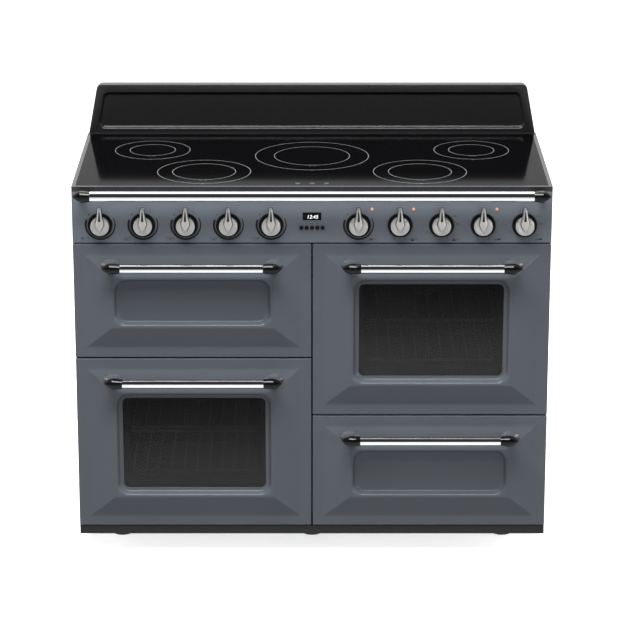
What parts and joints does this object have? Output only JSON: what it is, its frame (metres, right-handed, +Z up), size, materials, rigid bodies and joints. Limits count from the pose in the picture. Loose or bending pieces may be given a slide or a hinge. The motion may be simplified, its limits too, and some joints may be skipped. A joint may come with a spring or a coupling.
{
  "type": "electric range cooker",
  "caption": "Wide electric range cooker with glass hob, grill, two drop-door ovens, storage drawer, lever knobs, towel rail and backsplash.",
  "frame": {"origin": "centre of the overall box at floor level, under the feet", "axes": "+X to the right seen from the front, -Y out of the doors towards the user, +Z up"},
  "size_m": [1.1, 0.6005, 1.022],
  "materials": {
    "slate_enamel": "semi-gloss enamel",
    "black_enamel": "gloss enamel",
    "dark_enamel": "vitreous enamel inside the ovens",
    "chrome_tube": "polished",
    "knob_metal": "satin",
    "black_plastic": "satin moulding",
    "button_plastic": "gloss",
    "ceramic_glass": "black ceramic glass",
    "door_glass": "dark tinted glass",
    "display_glass": "gloss display window",
    "orange_lens": "translucent lens",
    "lamp_lens": "clear ribbed glass",
    "zinc_steel": "zinc-coated sheet",
    "hob_trim_metal": "dark satin frame",
    "shelf_wire": "bright wire",
    "heater_tube": "oxidised steel tube",
    "heater_dish": "pressed ceramic fibre",
    "mineral_wool": "matted wool",
    "seal_rubber": "matte",
    "motor_steel": "matte",
    "plinth_metal": "matte",
    "foot_plastic": "matte"
  },
  "bodies": {
    "carcass": {"base_tray": "zinc_steel", "levelling_feet": "foot_plastic", "plinth_strip": "plinth_metal", "side_panels": "black_enamel", "rear_cover": "zinc_steel", "terminal_block": "black_plastic", "chassis_frame": "zinc_steel", "hob_trim": "hob_trim_metal", "hob_glass": "ceramic_glass", "radiant_heaters": "heater_dish", "backsplash": "black_enamel", "control_fascia": "slate_enamel", "knob_bezels": "black_plastic", "indicator_lenses": "orange_lens", "clock_module": "display_glass", "rotary_switches": "black_plastic", "towel_rail": "chrome_tube", "oven_cavities": "dark_enamel", "grill_cavity": "dark_enamel", "cavity_insulation": "mineral_wool", "door_seals": "seal_rubber", "rack_supports": "shelf_wire", "oven_racks": "shelf_wire", "heating_elements": "heater_tube", "fan_baffles": "dark_enamel", "fan_motors": "motor_steel", "oven_lamps": "lamp_lens", "hinge_receivers": "zinc_steel", "drawer_runners": "zinc_steel"},
    "left_oven_door": {"left_oven_door_panel": "slate_enamel", "left_oven_door_glass": "door_glass", "left_oven_door_liner": "dark_enamel", "left_oven_door_handle": "chrome_tube"},
    "right_oven_door": {"right_oven_door_panel": "slate_enamel", "right_oven_door_glass": "door_glass", "right_oven_door_liner": "dark_enamel", "right_oven_door_handle": "chrome_tube"},
    "grill_door": {"grill_door_panel": "slate_enamel", "grill_door_liner": "dark_enamel", "grill_door_handle": "chrome_tube"},
    "drawer": {"drawer_front": "slate_enamel", "drawer_box": "dark_enamel", "drawer_handle": "chrome_tube"},
    "rear_left_zone_knob": {"rear_left_zone_knob": "knob_metal"},
    "front_left_zone_knob": {"front_left_zone_knob": "knob_metal"},
    "centre_zone_knob": {"centre_zone_knob": "knob_metal"},
    "front_right_zone_knob": {"front_right_zone_knob": "knob_metal"},
    "rear_right_zone_knob": {"rear_right_zone_knob": "knob_metal"},
    "grill_knob": {"grill_knob": "knob_metal"},
    "left_oven_function_knob": {"left_oven_function_knob": "knob_metal"},
    "left_oven_heat_knob": {"left_oven_heat_knob": "knob_metal"},
    "right_oven_function_knob": {"right_oven_function_knob": "knob_metal"},
    "right_oven_heat_knob": {"right_oven_heat_knob": "knob_metal"},
    "clock_button_1": {"clock_button_1": "button_plastic"},
    "clock_button_2": {"clock_button_2": "button_plastic"},
    "clock_button_3": {"clock_button_3": "button_plastic"},
    "clock_button_4": {"clock_button_4": "button_plastic"},
    "clock_button_5": {"clock_button_5": "button_plastic"},
    "left_oven_fan": {"left_oven_fan": "zinc_steel"},
    "right_oven_fan": {"right_oven_fan": "zinc_steel"}
  },
  "joints": [
    {"name": "left_oven_door_hinge", "type": "hinge", "parent": "carcass", "child": "left_oven_door", "pos_m": [-0.27587, -0.232, 0.087], "axis": [1, 0, 0], "range_deg": [0, 90]},
    {"name": "right_oven_door_hinge", "type": "hinge", "parent": "carcass", "child": "right_oven_door", "pos_m": [0.27587, -0.232, 0.3645], "axis": [1, 0, 0], "range_deg": [0, 90]},
    {"name": "grill_door_hinge", "type": "hinge", "parent": "carcass", "child": "grill_door", "pos_m": [-0.27587, -0.232, 0.5055], "axis": [1, 0, 0], "range_deg": [0, 90]},
    {"name": "drawer_slide", "type": "slide", "parent": "carcass", "child": "drawer", "axis": [0, -1, 0], "range_m": [0, 0.43]},
    {"name": "rear_left_zone_turn", "type": "hinge", "parent": "carcass", "child": "rear_left_zone_knob", "pos_m": [-0.4857, -0.241, 0.8097], "axis": [0, 1, 0], "range_deg": [0, 270]},
    {"name": "front_left_zone_turn", "type": "hinge", "parent": "carcass", "child": "front_left_zone_knob", "pos_m": [-0.3877, -0.241, 0.8097], "axis": [0, 1, 0], "range_deg": [0, 270]},
    {"name": "centre_zone_turn", "type": "hinge", "parent": "carcass", "child": "centre_zone_knob", "pos_m": [-0.2897, -0.241, 0.8097], "axis": [0, 1, 0], "range_deg": [0, 270]},
    {"name": "front_right_zone_turn", "type": "hinge", "parent": "carcass", "child": "front_right_zone_knob", "pos_m": [-0.1917, -0.241, 0.8097], "axis": [0, 1, 0], "range_deg": [0, 270]},
    {"name": "rear_right_zone_turn", "type": "hinge", "parent": "carcass", "child": "rear_right_zone_knob", "pos_m": [-0.0937, -0.241, 0.8097], "axis": [0, 1, 0], "range_deg": [0, 270]},
    {"name": "grill_turn", "type": "hinge", "parent": "carcass", "child": "grill_knob", "pos_m": [0.1065, -0.241, 0.8097], "axis": [0, 1, 0], "range_deg": [0, 270]},
    {"name": "left_oven_function_turn", "type": "hinge", "parent": "carcass", "child": "left_oven_function_knob", "pos_m": [0.2017, -0.241, 0.8097], "axis": [0, 1, 0], "range_deg": [0, 315]},
    {"name": "left_oven_heat_turn", "type": "hinge", "parent": "carcass", "child": "left_oven_heat_knob", "pos_m": [0.2969, -0.241, 0.8097], "axis": [0, 1, 0], "range_deg": [0, 270]},
    {"name": "right_oven_function_turn", "type": "hinge", "parent": "carcass", "child": "right_oven_function_knob", "pos_m": [0.3921, -0.241, 0.8097], "axis": [0, 1, 0], "range_deg": [0, 315]},
    {"name": "right_oven_heat_turn", "type": "hinge", "parent": "carcass", "child": "right_oven_heat_knob", "pos_m": [0.4873, -0.241, 0.8097], "axis": [0, 1, 0], "range_deg": [0, 270]},
    {"name": "clock_button_1_press", "type": "slide", "parent": "carcass", "child": "clock_button_1", "axis": [0, 1, 0], "range_m": [0, 0.001], "stiffness_N_per_m": 400},
    {"name": "clock_button_2_press", "type": "slide", "parent": "carcass", "child": "clock_button_2", "axis": [0, 1, 0], "range_m": [0, 0.001], "stiffness_N_per_m": 400},
    {"name": "clock_button_3_press", "type": "slide", "parent": "carcass", "child": "clock_button_3", "axis": [0, 1, 0], "range_m": [0, 0.001], "stiffness_N_per_m": 400},
    {"name": "clock_button_4_press", "type": "slide", "parent": "carcass", "child": "clock_button_4", "axis": [0, 1, 0], "range_m": [0, 0.001], "stiffness_N_per_m": 400},
    {"name": "clock_button_5_press", "type": "slide", "parent": "carcass", "child": "clock_button_5", "axis": [0, 1, 0], "range_m": [0, 0.001], "stiffness_N_per_m": 400},
    {"name": "left_oven_fan_spin", "type": "hinge", "parent": "carcass", "child": "left_oven_fan", "pos_m": [-0.27587, 0.19, 0.2795], "axis": [0, 1, 0], "continuous": true},
    {"name": "right_oven_fan_spin", "type": "hinge", "parent": "carcass", "child": "right_oven_fan", "pos_m": [0.27587, 0.19, 0.557], "axis": [0, 1, 0], "continuous": true}
  ]
}
